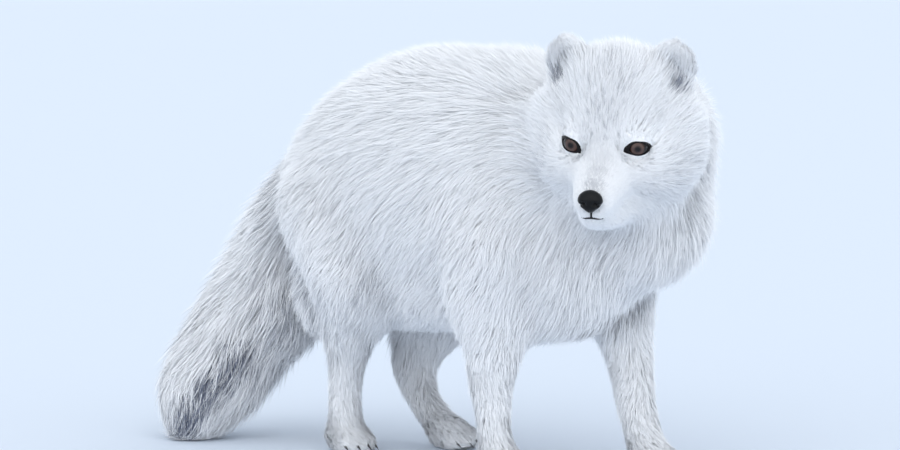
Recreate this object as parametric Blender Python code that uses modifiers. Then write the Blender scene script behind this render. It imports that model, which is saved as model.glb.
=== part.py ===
"""Arctic fox in its winter coat, standing, as a still life-size model.

The whole animal is first built as one clay body: ellipsoids strung along the
spine, neck, head, legs and tail, melted together and thinned to facets. Its
surface is where the tips of the coat end. The clay is then parted by thin cuts
into the pieces a person would name, and the eyes, nose and ears are added.

Metres, +Z up. The trunk runs along Y with the chest towards -Y, and the fox's
left is +X. The origin is the middle of the model's footprint, on the floor.
"""

import math

import bmesh
import bpy
from mathutils import Matrix, Vector

# ---------------------------------------------------------------- driving sizes

CUT_GAP = 0.0004  # width of the thin cuts that part the body
CLAY_VOXEL = 0.0030  # grain of the melted clay
CLAY_SMOOTHING = 8  # passes of smoothing over the melted clay
BODY_FACETS = 3100  # triangles left in the clay body
LEG_CUTTER_FACETS = 120
EAR_VOXEL, EAR_FACETS = 0.0016, 280
NOSE_VOXEL, NOSE_FACETS = 0.0008, 170

# The head turns to the fox's right, dips a little and tips to its left.
HEAD_YAW, HEAD_PITCH, HEAD_ROLL = math.radians(-55), math.radians(8), math.radians(2.5)
HEAD_ORIGIN = Vector((-0.0524, -0.2424, 0.2715))  # midway between the two eyes

EYE_APART = 0.0245  # each eye's distance from the head's middle plane
EYE_RADIUS = 0.0095
EYE_SEAT = 0.0003  # gap between an eyeball and its socket
EYE_FORWARD = 0.0005
ORBIT_HALF = Vector((0.0136, 0.0068, 0.0070))  # almond hollow in front of the eyeball
ORBIT_FORWARD = 0.0098
ORBIT_TURN = math.radians(34)  # the hollow faces a little outwards
ORBIT_TILT = math.radians(16)  # its outer corner is the higher one

NOSE_CENTRE = Vector((0.0, -0.0618, -0.0312))  # in the head's frame
NOSE_SIZE = Vector((0.0098, 0.0062, 0.0086))  # half width, half depth, half height
NOSTRIL_HALF = (0.0024, 0.0026, 0.0020)

EAR_BASE = Vector((0.0372, 0.0480, 0.0392))  # in the head's frame, left ear
EAR_LEAN = math.radians(10)  # tip away from the middle plane
EAR_TURN = math.radians(22)  # opening turned outwards
EAR_HALF = Vector((0.0205, 0.0110, 0.0362))  # half width, half thickness, height

SOLE = 0.0  # level of the flat soles
ANKLE_Z = 0.0280  # cut between a paw and its leg
PAW_REACH = Vector((0.030, 0.045))  # half width and half length of what parts with a paw
LEG_MARGIN = 0.036  # room left round the middle line of a lower leg
KNEE_CUT_Z = {"front": 0.0950, "hind": 0.0930}  # cut between a lower and an upper leg
CLAW_LENGTH, CLAW_ROOT, CLAW_TIP = 0.0100, 0.0017, 0.0004
CLAW_DROP = math.radians(32)  # how far the claws point down

# ------------------------------------------------------------------- materials

COAT_WHITE = (0.82, 0.84, 0.86)
COAT_GREY = (0.46, 0.47, 0.50)
EYE_BROWN = (0.10, 0.055, 0.04)
NOSE_BLACK = (0.012, 0.012, 0.014)


def material(name, colour, roughness, metallic=0.0):
    """A Principled material, made once for each finish."""
    found = bpy.data.materials.get(name)
    if found:
        return found
    made = bpy.data.materials.new(name)
    made.use_nodes = True
    shader = made.node_tree.nodes["Principled BSDF"]
    shader.inputs["Base Color"].default_value = (*colour, 1.0)
    shader.inputs["Roughness"].default_value = roughness
    shader.inputs["Metallic"].default_value = metallic
    return made


# ----------------------------------------------------------------------- frames


def head_frame():
    """The head's own frame: -Y to the nose, +X to the fox's left, +Z to the crown."""
    return (
        Matrix.Translation(HEAD_ORIGIN)
        @ Matrix.Rotation(HEAD_YAW, 4, "Z")
        @ Matrix.Rotation(HEAD_PITCH, 4, "X")
        @ Matrix.Rotation(HEAD_ROLL, 4, "Y")
    )


BODY = Matrix.Identity(4)
HEAD = head_frame()

# ------------------------------------------------------------------------- clay


def catmull(a, b, c, d, t):
    """A point on the smooth curve from b to c, with a and d as its neighbours."""
    return 0.5 * (
        2 * b + (c - a) * t + (2 * a - 5 * b + 4 * c - d) * t**2 + (3 * b - a - 3 * c + d) * t**3
    )


def strung(stations, between):
    """Stations of (centre, half sizes) with more of them in between, on one smooth run."""
    rows = [(Vector(centre), Vector(half)) for centre, half in stations]
    ends = [rows[0], *rows, rows[-1]]
    run = []
    for i in range(1, len(ends) - 2):
        for step in range(between):
            t = step / between
            run.append(
                tuple(catmull(*(ends[i + k][part] for k in (-1, 0, 1, 2)), t) for part in (0, 1))
            )
    run.append(rows[-1])
    return run


def add_ball(balls, frame, centre, half):
    """One ellipsoid of clay, with half sizes along its frame's axes."""
    balls.append(frame @ Matrix.Translation(centre) @ Matrix.Diagonal((*half, 1.0)))


def add_run(balls, frame, stations, between=4):
    for centre, half in strung(stations, between):
        add_ball(balls, frame, centre, half)


def ball_mesh(name, balls, rings=10):
    """One mesh with a unit sphere at each matrix in balls."""
    unit = bmesh.new()
    bmesh.ops.create_uvsphere(unit, u_segments=2 * rings, v_segments=rings, radius=1.0)
    points = [vert.co.copy() for vert in unit.verts]
    faces = [[vert.index for vert in face.verts] for face in unit.faces]
    unit.free()
    data = bpy.data.meshes.new(name)
    data.from_pydata(
        [ball @ point for ball in balls for point in points],
        [],
        [[i + n * len(points) for i in face] for n in range(len(balls)) for face in faces],
    )
    return data


def round_run(points):
    """Stations with round sections, from (x, y, z, radius) rows."""
    return [((x, y, z), (r, r, r)) for x, y, z, r in points]


def melted(name, balls, voxel, smoothing, facets):
    """The balls melted into one closed skin of about that many triangles."""
    lump = bpy.data.objects.new(name, ball_mesh(name, balls))
    guides.objects.link(lump)
    melt = lump.modifiers.new("melt", "REMESH")
    melt.mode = "VOXEL"
    melt.voxel_size = voxel
    soften = lump.modifiers.new("soften", "SMOOTH")
    soften.factor = 0.5
    soften.iterations = smoothing
    whole = evaluated_copy(lump, name + "_fine")
    triangles = sum(len(p.vertices) - 2 for p in whole.data.polygons)
    thin = whole.modifiers.new("thin", "DECIMATE")
    thin.ratio = facets / triangles
    thin.use_collapse_triangulate = True
    made = evaluated_copy(whole, name + "_clay")
    drop(lump)
    drop(whole)
    return made


# -------------------------------------------------------------- object handling


def evaluated_copy(source, name):
    """A new object with the mesh that source's modifiers give."""
    graph = bpy.context.evaluated_depsgraph_get()
    data = bpy.data.meshes.new_from_object(source.evaluated_get(graph), depsgraph=graph)
    data.name = name
    made = bpy.data.objects.new(name, data)
    made.matrix_world = source.matrix_world
    guides.objects.link(made)
    return made


def drop(thing):
    bpy.data.objects.remove(thing)


def cut(target, cutter, operation, name):
    """The evaluated Boolean of two closed meshes, as a new object."""
    step = target.modifiers.new("cut", "BOOLEAN")
    step.object = cutter
    step.operation = operation
    step.solver = "EXACT"
    made = evaluated_copy(target, name)
    target.modifiers.remove(step)
    return made


def guide_from(name, data):
    """A helper shape, kept out of the finished model."""
    made = bpy.data.objects.new(name, data)
    made.display_type = "WIRE"
    guides.objects.link(made)
    return made


def ball_guide(name, frame, centre, half, extra=0.0, rings=8):
    """An ellipsoid, larger than its stated half sizes by extra all round."""
    balls = []
    add_ball(balls, frame, Vector(centre), Vector(half) + Vector((extra,) * 3))
    return guide_from(name, ball_mesh(name, balls, rings))


def box_guide(name, frame, low, high, extra=0.0):
    """A box, larger than its stated corners by extra all round."""
    low, high = Vector(low) - Vector((extra,) * 3), Vector(high) + Vector((extra,) * 3)
    size = Matrix.Diagonal((*(high - low), 1.0))
    box = bmesh.new()
    bmesh.ops.create_cube(
        box, size=1.0, matrix=frame @ Matrix.Translation((low + high) / 2) @ size
    )
    data = bpy.data.meshes.new(name)
    box.to_mesh(data)
    box.free()
    return guide_from(name, data)


def swollen(source, name):
    """A closed copy of source, fatter by the width of a thin cut."""
    swell = source.modifiers.new("swell", "DISPLACE")
    swell.strength = CUT_GAP
    swell.mid_level = 0.0
    made = evaluated_copy(source, name)
    source.modifiers.remove(swell)
    return made


def balls_apart(*place):
    return [ball_guide("cutter", *place, extra=extra) for extra in (0.0, CUT_GAP)]


def boxes_apart(*place):
    return [box_guide("cutter", *place, extra=extra) for extra in (0.0, CUT_GAP)]


def clays_apart(stations, facets):
    balls = []
    add_run(balls, BODY, round_run(stations))
    inner = melted("cutter", balls, CLAY_VOXEL, CLAY_SMOOTHING, facets)
    return [inner, swollen(inner, "cutter")]


def part_off(rest, name, cutters):
    """Parts what is in a cutter from rest by a thin cut. Returns (piece, what is left)."""
    inner, outer = cutters
    piece = cut(rest, inner, "INTERSECT", name)
    left = cut(rest, outer, "DIFFERENCE", "body")
    for spent in (inner, outer, rest):
        drop(spent)
    return piece, left


def finish(piece, name, finish_material):
    """Puts a finished piece in the model's collection under its node name."""
    guides.objects.unlink(piece)
    fox.objects.link(piece)
    piece.name = name
    piece.data.name = name
    piece.data.materials.clear()
    piece.data.materials.append(finish_material)
    piece.parent = stand
    return piece


# -------------------------------------------------------------------- the shape
# Half sizes reach the tips of the coat.

TRUNK = [  # rump, hips, loin, ribs, shoulders, breast
    ((0.000, 0.112, 0.212), (0.078, 0.056, 0.078)),
    ((0.000, 0.075, 0.219), (0.093, 0.070, 0.100)),
    ((0.000, 0.020, 0.227), (0.099, 0.070, 0.113)),
    ((0.000, -0.045, 0.228), (0.101, 0.070, 0.114)),
    ((0.000, -0.100, 0.226), (0.097, 0.070, 0.114)),
    ((0.004, -0.148, 0.207), (0.080, 0.062, 0.100)),
]

UNDERSIDE = [  # the hanging coat: breast, chest, belly, groin
    ((0.002, -0.140, 0.154), (0.058, 0.046, 0.052)),
    ((0.000, -0.095, 0.150), (0.068, 0.050, 0.052)),
    ((0.000, -0.020, 0.153), (0.074, 0.060, 0.051)),
    ((0.000, 0.050, 0.150), (0.062, 0.045, 0.053)),
    ((0.000, 0.085, 0.155), (0.052, 0.030, 0.052)),
]

NECK = [  # withers, nape and the coat behind the head
    ((0.000, -0.105, 0.252), (0.088, 0.064, 0.084)),
    ((0.018, -0.138, 0.257), (0.076, 0.062, 0.080)),
    ((0.014, -0.176, 0.254), (0.074, 0.052, 0.074)),
]
WITHERS, NECK_SLOPE = Vector((0, -0.118, 0.270)), math.radians(-37)  # where the neck parts
MANE = ((0.034, -0.194, 0.212), (0.062, 0.062, 0.068))  # pushed out by the turned head

# In the head's frame.
HEAD_REGION = ((0, -0.035, 0.010), (0.110, 0.125, 0.085))  # what parts with the head
COLLAR = ((-0.005, 0.094, -0.013), (0.083, 0.050, 0.078))
SKULL = [  # occiput, crown, brow
    ((0.000, 0.062, 0.014), (0.048, 0.040, 0.052)),
    ((0.000, 0.040, 0.021), (0.049, 0.040, 0.055)),
    ((0.000, 0.014, 0.000), (0.041, 0.028, 0.040)),
]
MUZZLE = [
    ((0.000, 0.006, -0.014), (0.030, 0.024, 0.026)),
    ((0.000, -0.016, -0.0235), (0.0245, 0.020, 0.0205)),
    ((0.000, -0.036, -0.0305), (0.0195, 0.018, 0.0165)),
    ((0.000, -0.0515, -0.0350), (0.0160, 0.0095, 0.0132)),
]
JAW = [
    ((0.000, -0.042, -0.0490), (0.0120, 0.012, 0.0090)),
    ((0.000, -0.022, -0.0515), (0.0185, 0.016, 0.0115)),
    ((0.000, 0.010, -0.0470), (0.0270, 0.022, 0.0190)),
    ((0.000, 0.036, -0.0440), (0.0430, 0.026, 0.0270)),
]
CHEEK = [  # left side: under the eye, out and back to the ruff, up behind the eye
    ((0.020, -0.002, -0.018), (0.014, 0.013, 0.014)),
    ((0.034, 0.022, -0.016), (0.026, 0.026, 0.030)),
    ((0.040, 0.044, -0.008), (0.034, 0.028, 0.044)),
    ((0.039, 0.047, 0.013), (0.034, 0.028, 0.029)),
]
BROW = ((0.0205, 0.0060, 0.0165), (0.0150, 0.0120, 0.0110))
CROWN = ((0.0100, 0.0460, 0.0365), (0.0220, 0.0290, 0.0380))  # fills out the flat top

FRONT_LEG = {  # shoulder, elbow, forearm, wrist and pastern, as (x, y, z, radius)
    "right": [
        (-0.050, -0.118, 0.190, 0.050),
        (-0.052, -0.106, 0.145, 0.038),
        (-0.048, -0.108, 0.100, 0.0245),
        (-0.048, -0.104, 0.075, 0.0200),
        (-0.048, -0.106, 0.053, 0.0158),
        (-0.048, -0.109, 0.025, 0.0145),
    ],
    "left": [
        (0.048, -0.125, 0.190, 0.050),
        (0.057, -0.139, 0.145, 0.036),
        (0.059, -0.150, 0.100, 0.0225),
        (0.057, -0.159, 0.073, 0.0190),
        (0.054, -0.167, 0.050, 0.0175),
        (0.050, -0.181, 0.022, 0.0160),
    ],
}
HIND_LEG = {  # thigh, knee, shank, hock, heel and instep
    "right": [
        (-0.048, 0.075, 0.205, 0.058),
        (-0.056, 0.050, 0.160, 0.046),
        (-0.050, 0.062, 0.120, 0.031),
        (-0.046, 0.072, 0.086, 0.0200),
        (-0.0455, 0.077, 0.058, 0.0155),
        (-0.0455, 0.077, 0.022, 0.0155),
    ],
    "left": [
        (0.048, 0.068, 0.205, 0.058),
        (0.058, 0.035, 0.160, 0.046),
        (0.053, 0.064, 0.114, 0.033),
        (0.044, 0.090, 0.074, 0.0225),
        (0.040, 0.080, 0.043, 0.0160),
        (0.036, 0.048, 0.017, 0.0145),
    ],
}
UPPER_LEG = {  # what parts with an upper leg: out from the flank and down, on the right
    "front": [
        (-0.080, -0.118, 0.205, 0.048),
        (-0.064, -0.110, 0.150, 0.044),
        (-0.052, -0.110, 0.110, 0.044),
    ],
    "hind": [
        (-0.082, 0.075, 0.205, 0.056),
        (-0.068, 0.052, 0.160, 0.052),
        (-0.048, 0.074, 0.104, 0.044),
    ],
}
STRIDE = {"front": -0.028, "hind": -0.004}  # how far forward the left upper leg is of the right

PAW_CENTRE = {
    ("front", "right"): Vector((-0.0480, -0.1150, 0.0)),
    ("front", "left"): Vector((0.0495, -0.1920, 0.0)),
    ("hind", "right"): Vector((-0.0450, 0.0745, 0.0)),
    ("hind", "left"): Vector((0.0345, 0.0350, 0.0)),
}
PAW_TURN = {  # toes point a little outwards
    ("front", "right"): math.radians(-8),
    ("front", "left"): math.radians(6),
    ("hind", "right"): math.radians(-10),
    ("hind", "left"): math.radians(4),
}
PAW_BODY = ((0.0, 0.004, 0.013), (0.0180, 0.0205, 0.0165))
PAW_TOES = [  # outer, inner: sideways place, forward place
    (0.0142, -0.0100),
    (0.0050, -0.0150),
]
TOE_HALF = (0.0066, 0.0115, 0.0100)
TOE_Z = 0.0080

TAIL = [  # root, brush and tip, as (x, y, z, radius)
    (-0.006, 0.142, 0.210, 0.050),
    (-0.016, 0.174, 0.178, 0.043),
    (-0.025, 0.194, 0.140, 0.042),
    (-0.036, 0.207, 0.104, 0.047),
    (-0.053, 0.216, 0.071, 0.048),
    (-0.075, 0.221, 0.043, 0.041),
    (-0.088, 0.221, 0.023, 0.0265),
    (-0.097, 0.222, 0.012, 0.012),
]
BRUSH = ((-0.030, 0.176, 0.112), (0.036, 0.036, 0.046))  # the long coat inside the tail's bend
BREECHES = [  # the coat that hangs behind each thigh
    ((-0.040, 0.104, 0.140), (0.034, 0.033, 0.049)),
    ((0.040, 0.098, 0.140), (0.034, 0.033, 0.046)),
]
# Each tail cut is a point on it, the way along the tail, and how far it reaches sideways.
TAIL_ROOT_CUT = (Vector((-0.010, 0.152, 0.198)), Vector((-0.04, 0.985, -0.17)), 0.115)
TAIL_TIP_CUT = (Vector((-0.041, 0.2015, 0.106)), Vector((-0.30, 0.10, -0.95)), 0.070)


def paw_frame(end, side):
    return Matrix.Translation(PAW_CENTRE[end, side]) @ Matrix.Rotation(PAW_TURN[end, side], 4, "Z")


def body_clay():
    """The whole animal but its eyes, nose and ears, as one lump."""
    balls = []
    add_run(balls, BODY, TRUNK)
    add_run(balls, BODY, UNDERSIDE)
    add_run(balls, BODY, NECK)
    for bulge in (MANE, BRUSH, *BREECHES):
        add_ball(balls, BODY, *bulge)
    add_ball(balls, HEAD, *COLLAR)
    add_run(balls, HEAD, SKULL)
    add_run(balls, HEAD, MUZZLE)
    add_run(balls, HEAD, JAW)
    for flip in (1, -1):
        side = Matrix.Diagonal((flip, 1, 1))
        add_run(balls, HEAD, [(side @ Vector(centre), half) for centre, half in CHEEK])
        for centre, half in (BROW, CROWN):
            add_ball(balls, HEAD, side @ Vector(centre), half)
    for leg in (*FRONT_LEG.values(), *HIND_LEG.values()):
        add_run(balls, BODY, round_run(leg))
    for end, side in PAW_CENTRE:
        add_paw(balls, paw_frame(end, side))
    add_run(balls, BODY, round_run(TAIL), between=6)
    clay = melted("body", balls, CLAY_VOXEL, CLAY_SMOOTHING, BODY_FACETS)
    floor = box_guide("floor", BODY, (-0.5, -0.5, -0.1), (0.5, 0.5, SOLE))
    flat_footed = cut(clay, floor, "DIFFERENCE", "body")
    drop(floor)
    drop(clay)
    return flat_footed


def add_paw(balls, frame):
    add_ball(balls, frame, Vector(PAW_BODY[0]), PAW_BODY[1])
    for sideways, forward in PAW_TOES:
        for flip in (1, -1):
            add_ball(balls, frame, Vector((flip * sideways, forward, TOE_Z)), TOE_HALF)


# ---------------------------------------------------------------------- pieces


def ear_clay(flip):
    """One upright ear, cupped at the front, with its root sunk in the head."""
    width, thick, height = EAR_HALF
    frame = (
        HEAD
        @ Matrix.Translation((flip * EAR_BASE.x, EAR_BASE.y, EAR_BASE.z))
        @ Matrix.Rotation(flip * EAR_TURN, 4, "Z")
        @ Matrix.Rotation(flip * EAR_LEAN, 4, "Y")
    )
    balls = []
    add_run(
        balls,
        frame,
        [
            ((0, 0.002, -0.006), (width * 1.02, thick * 1.25, height * 0.36)),
            ((0, 0.001, height * 0.28), (width * 1.04, thick * 1.10, height * 0.36)),
            ((0, 0.000, height * 0.64), (width * 0.86, thick * 0.80, height * 0.32)),
        ],
    )
    lump = melted("ear", balls, EAR_VOXEL, 3, EAR_FACETS)
    cup = ball_guide(
        "ear_cup",
        frame,
        (0, -thick * 1.35, height * 0.34),
        (width * 0.70, thick * 1.00, height * 0.50),
    )
    cupped = cut(lump, cup, "DIFFERENCE", "ear")
    drop(lump)
    drop(cup)
    return cupped


def nose_clay():
    """The nose pad: round on top, drawn in below, with two nostrils."""
    half_x, half_y, half_z = NOSE_SIZE
    frame = HEAD @ Matrix.Translation(NOSE_CENTRE)
    balls = []
    add_ball(balls, frame, Vector((0, 0, 0.0012)), (half_x, half_y, half_z * 0.82))
    add_ball(balls, frame, Vector((0, 0.0005, -0.0040)), (half_x * 0.62, half_y, half_z * 0.56))
    pad = melted("nose", balls, NOSE_VOXEL, 4, NOSE_FACETS)
    for flip in (1, -1):
        place = (flip * half_x * 0.50, -half_y * 0.86, -0.0010)
        nostril = ball_guide("nostril", frame, place, NOSTRIL_HALF, rings=5)
        pad = taken_out(pad, nostril)
    return pad


def taken_out(target, cutter):
    """What is left of target when the cutter's room is taken out of it."""
    left = cut(target, cutter, "DIFFERENCE", target.name)
    drop(target)
    drop(cutter)
    return left


def eye_ball(flip, extra=0.0):
    place = Vector((flip * EYE_APART, -EYE_FORWARD, 0.0))
    return ball_guide("eye", HEAD, place, (EYE_RADIUS,) * 3, extra=extra)


def orbit(flip):
    """The almond hollow that opens the head in front of an eyeball."""
    frame = (
        HEAD
        @ Matrix.Translation((flip * EYE_APART, -EYE_FORWARD, 0.0))
        @ Matrix.Rotation(flip * ORBIT_TURN, 4, "Z")
        @ Matrix.Rotation(-flip * ORBIT_TILT, 4, "Y")
    )
    return ball_guide("orbit", frame, (0, -ORBIT_FORWARD, 0), ORBIT_HALF, rings=7)


def clawed(paw, frame):
    """The paw with a blunt claw at the end of each toe."""
    for sideways, forward in PAW_TOES:
        for flip in (1, -1):
            root = Vector((flip * sideways, forward - TOE_HALF[1] * 0.70, TOE_Z + 0.0005))
            claw = bmesh.new()
            bmesh.ops.create_cone(
                claw,
                cap_ends=True,
                segments=6,
                radius1=CLAW_ROOT,
                radius2=CLAW_TIP,
                depth=CLAW_LENGTH,
                matrix=frame
                @ Matrix.Translation(root)
                @ Matrix.Rotation(math.pi / 2 + CLAW_DROP, 4, "X")
                @ Matrix.Translation((0, 0, CLAW_LENGTH / 2)),
            )
            data = bpy.data.meshes.new("claw")
            claw.to_mesh(data)
            claw.free()
            tool = guide_from("claw", data)
            joined = cut(paw, tool, "UNION", "paw")
            drop(paw)
            drop(tool)
            paw = joined
    return paw


def half_space(point, facing, reach):
    """Box corners, in a frame whose -Z is the way the cut faces, for all beyond the cut."""
    turn = facing.to_track_quat("-Z", "Y").to_matrix().to_4x4()
    return Matrix.Translation(point) @ turn, (-reach, -reach, -0.30), (reach, reach, 0.0)


def leg_box(leg, low, high):
    """Corners of an upright box round the lower stations of a leg."""
    rows = leg[2:]
    near = [min(row[k] for row in rows) - LEG_MARGIN for k in (0, 1)]
    far = [max(row[k] for row in rows) + LEG_MARGIN for k in (0, 1)]
    return BODY, (*near, low), (*far, high)


def part_leg(body, end, side, leg, finish_material):
    """Parts one leg into paw, lower leg and upper leg."""
    foot = paw_frame(end, side)
    paw, body = part_off(
        body, "paw", boxes_apart(foot, (*-PAW_REACH, SOLE - 0.01), (*PAW_REACH, ANKLE_Z))
    )
    lower, body = part_off(
        body, "lower", boxes_apart(*leg_box(leg, ANKLE_Z - 0.01, KNEE_CUT_Z[end]))
    )
    forward = STRIDE[end] if side == "left" else 0.0
    flip = -1 if side == "left" else 1
    region = [(flip * x, y + forward, z, r) for x, y, z, r in UPPER_LEG[end]]
    upper, body = part_off(body, "upper", clays_apart(region, LEG_CUTTER_FACETS))
    finish(clawed(paw, foot), f"{end}_{side}_paw", finish_material)
    finish(lower, f"{end}_{side}_lower_leg", finish_material)
    finish(upper, f"{end}_{side}_upper_leg", finish_material)
    return body


def part_body(body):
    """Parts the clay body into its named pieces, and returns the head for its details."""
    white = material("coat_white", COAT_WHITE, 0.85)
    grey = material("coat_grey", COAT_GREY, 0.85)
    head, body = part_off(body, "head", balls_apart(HEAD, *HEAD_REGION))
    tip, body = part_off(body, "tip", boxes_apart(*half_space(*TAIL_TIP_CUT)))
    root, body = part_off(body, "root", boxes_apart(*half_space(*TAIL_ROOT_CUT)))
    finish(tip, "tail_tip", grey)
    finish(root, "tail_root", white)
    for end, legs in (("front", FRONT_LEG), ("hind", HIND_LEG)):
        for side, leg in legs.items():
            body = part_leg(body, end, side, leg, white)
    neck, trunk = part_off(body, "neck", boxes_apart(*neck_region()))
    finish(neck, "neck", white)
    finish(trunk, "trunk", white)
    return head


def neck_region():
    """A box whose back wall slopes from the withers down to the breast."""
    slope = Matrix.Translation(WITHERS) @ Matrix.Rotation(NECK_SLOPE, 4, "X")
    return slope, (-0.20, -0.25, -0.30), (0.20, 0.0, 0.30)


def build():
    white = material("coat_white", COAT_WHITE, 0.85)
    body = body_clay()
    room_for_ears = swollen(body, "room_for_ears")
    head = part_body(body)
    for flip, side in ((1, "left"), (-1, "right")):
        ear = ear_clay(flip)
        finish(cut(ear, room_for_ears, "DIFFERENCE", "ear"), f"ear_{side}", white)
        drop(ear)
        head = taken_out(head, orbit(flip))
        head = taken_out(head, eye_ball(flip, EYE_SEAT))
        eye = eye_ball(flip)
        eye.display_type = "TEXTURED"
        finish(eye, f"eye_{side}", material("eye", EYE_BROWN, 0.08))
    drop(room_for_ears)
    nose = nose_clay()
    head = taken_out(head, swollen(nose, "nose_seat"))
    finish(nose, "nose", material("nose", NOSE_BLACK, 0.35))
    finish(head, "head", white)


def stand_on_origin():
    """Moves the model so that the middle of its box is over the origin, with its soles at zero."""
    corners = [Vector(c) for piece in fox.objects for c in piece.bound_box]
    for axis in (0, 1):
        low, high = min(c[axis] for c in corners), max(c[axis] for c in corners)
        stand.location[axis] = -(low + high) / 2
    stand.location.z = -SOLE


for old in list(bpy.data.objects):
    bpy.data.objects.remove(old)
fox = bpy.data.collections.new("arctic_fox")
guides = bpy.data.collections.new("guides")
bpy.context.scene.collection.children.link(fox)
bpy.context.scene.collection.children.link(guides)
guides.hide_render = True
stand = bpy.data.objects.new("fox_origin", None)
fox.objects.link(stand)
build()
stand_on_origin()
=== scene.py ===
import math

import bmesh
import bpy
import numpy as np
from mathutils import Matrix, Vector
from mathutils.bvhtree import BVHTree


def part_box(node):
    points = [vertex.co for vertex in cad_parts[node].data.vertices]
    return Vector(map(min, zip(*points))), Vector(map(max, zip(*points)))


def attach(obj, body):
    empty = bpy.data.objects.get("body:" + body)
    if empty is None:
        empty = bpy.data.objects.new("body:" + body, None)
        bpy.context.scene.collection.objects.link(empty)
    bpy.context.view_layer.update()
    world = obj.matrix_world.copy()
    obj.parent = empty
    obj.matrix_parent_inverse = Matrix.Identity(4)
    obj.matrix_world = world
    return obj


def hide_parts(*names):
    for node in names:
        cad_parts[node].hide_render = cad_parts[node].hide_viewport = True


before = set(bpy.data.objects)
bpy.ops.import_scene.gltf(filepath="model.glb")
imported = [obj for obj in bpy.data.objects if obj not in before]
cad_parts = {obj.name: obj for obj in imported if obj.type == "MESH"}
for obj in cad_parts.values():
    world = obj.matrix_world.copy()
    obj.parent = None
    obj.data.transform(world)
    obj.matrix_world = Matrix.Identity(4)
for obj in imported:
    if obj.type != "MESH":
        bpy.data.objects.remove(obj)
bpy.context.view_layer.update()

print("frame loaded")

view = {
    "target": (0.0064, 0.0083, 0.190),
    "turn": -42.0,  # degrees round the model, from straight in front of it
    "rise": 5.0,
    "distance": 4.5,
    "lens": 219.6,
}
studio = {
    "floorSize": 80.0,
    "floorRoughness": 0.9,
    "floorColour": (0.73, 0.80, 0.90),
    "skyColour": (0.87, 0.93, 1.0),
    "skyStrength": 0.86,
    "lampDistance": 5.0,
}
lamps = [  # soft suns: turn, rise, strength and spread
    (-80.0, 50.0, 0.40, 90.0),
    (-30.0, 2.0, 1.80, 130.0),
]


def deselectAll():
    if bpy.context.mode != "OBJECT":
        bpy.ops.object.mode_set(mode="OBJECT")
    bpy.ops.object.select_all(action="DESELECT")


def makeActive(thing):
    deselectAll()
    thing.select_set(True)
    bpy.context.view_layer.objects.active = thing


def applyModifier(thing, kind, **settings):
    modifier = thing.modifiers.new(kind.title(), kind)
    for name, value in settings.items():
        setattr(modifier, name, value)
    makeActive(thing)
    bpy.ops.object.modifier_apply(modifier=modifier.name)


def editAll(thing, operator, **settings):
    makeActive(thing)
    bpy.ops.object.mode_set(mode="EDIT")
    bpy.ops.mesh.select_all(action="SELECT")
    operator(**settings)
    bpy.ops.object.mode_set(mode="OBJECT")


def newMaterial(name, roughness, colour=None):
    made = bpy.data.materials.new(name)
    made.use_nodes = True
    shader = made.node_tree.nodes["Principled BSDF"]
    shader.inputs["Roughness"].default_value = roughness
    if colour:
        shader.inputs["Base Color"].default_value = (*colour, 1)
    return made, made.node_tree, shader


def linked(name, data):
    made = bpy.data.objects.new(name, data)
    bpy.context.collection.objects.link(made)
    return made


def lengths(rows):
    return np.linalg.norm(rows, axis=1)


def aimed(turn, rise):
    # towards a turn round the model, in degrees, and a rise above the floor
    turn, rise = math.radians(turn), math.radians(rise)
    flat = math.cos(rise)
    return Vector((math.sin(turn) * flat, -math.cos(turn) * flat, math.sin(rise)))


def placeCamera():
    back = aimed(view["turn"], view["rise"])
    bpy.ops.object.camera_add(location=Vector(view["target"]) + back * view["distance"])
    camera = bpy.context.object
    camera.rotation_euler = (-back).to_track_quat("-Z", "Y").to_euler()
    camera.data.lens = view["lens"]
    camera.data.clip_end = 200.0
    bpy.context.scene.camera = camera


def layFloor():
    bpy.ops.mesh.primitive_plane_add(size=studio["floorSize"])
    floor = bpy.context.object
    floor.name = "studioFloor"
    paint = newMaterial("paleFloor", studio["floorRoughness"], studio["floorColour"])
    floor.data.materials.append(paint[0])


def lightStudio():
    world = bpy.data.worlds.new("studioSky")
    world.use_nodes = True
    sky = world.node_tree.nodes["Background"]
    sky.inputs["Color"].default_value = (*studio["skyColour"], 1)
    sky.inputs["Strength"].default_value = studio["skyStrength"]
    bpy.context.scene.world = world
    for turn, rise, strength, spread in lamps:
        away = aimed(turn, rise)
        bpy.ops.object.light_add(type="SUN", location=away * studio["lampDistance"])
        lamp = bpy.context.object
        lamp.rotation_euler = (-away).to_track_quat("-Z", "Y").to_euler()
        lamp.data.energy = strength
        lamp.data.angle = math.radians(spread)


deselectAll()
placeCamera()
layFloor()
lightStudio()
bpy.context.scene.view_settings.view_transform = "Standard"
print("camera, floor and light placed")


def middle(node):
    low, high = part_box(node)
    return (Vector(low) + Vector(high)) / 2


noseDrop = math.radians(26.8)  # how far the nose lies below the eyes
eyeRadius = 0.0095
openingAhead = -0.006  # the middle of each opening, ahead of the middle of its ball


def headFrame():
    # the head's own frame: nose forward, crown up, its origin midway between the eyes
    left, right, nose = middle("eye_left"), middle("eye_right"), middle("nose")
    centre = (left + right) / 2
    across = (left - right).normalized()
    toNose = nose - centre
    toNose = (toNose - across * toNose.dot(across)).normalized()
    turned = across.cross(toNose)
    back = -math.cos(noseDrop) * toNose + math.sin(noseDrop) * turned
    up = -math.sin(noseDrop) * toNose - math.cos(noseDrop) * turned
    made = Matrix((across, back, up)).transposed().to_4x4()
    made.translation = centre
    return made


head = headFrame()
headBack = head.inverted()
eyeSpan = (middle("eye_left") - middle("eye_right")).length / 2  # from the middle of the head to an eye
noseSpot = headBack @ middle("nose")
noseAt = np.array(noseSpot)


def placed(matrix, points):
    turn = np.array(matrix.to_3x3())
    return points @ turn.T + np.array(matrix.translation)


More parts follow.
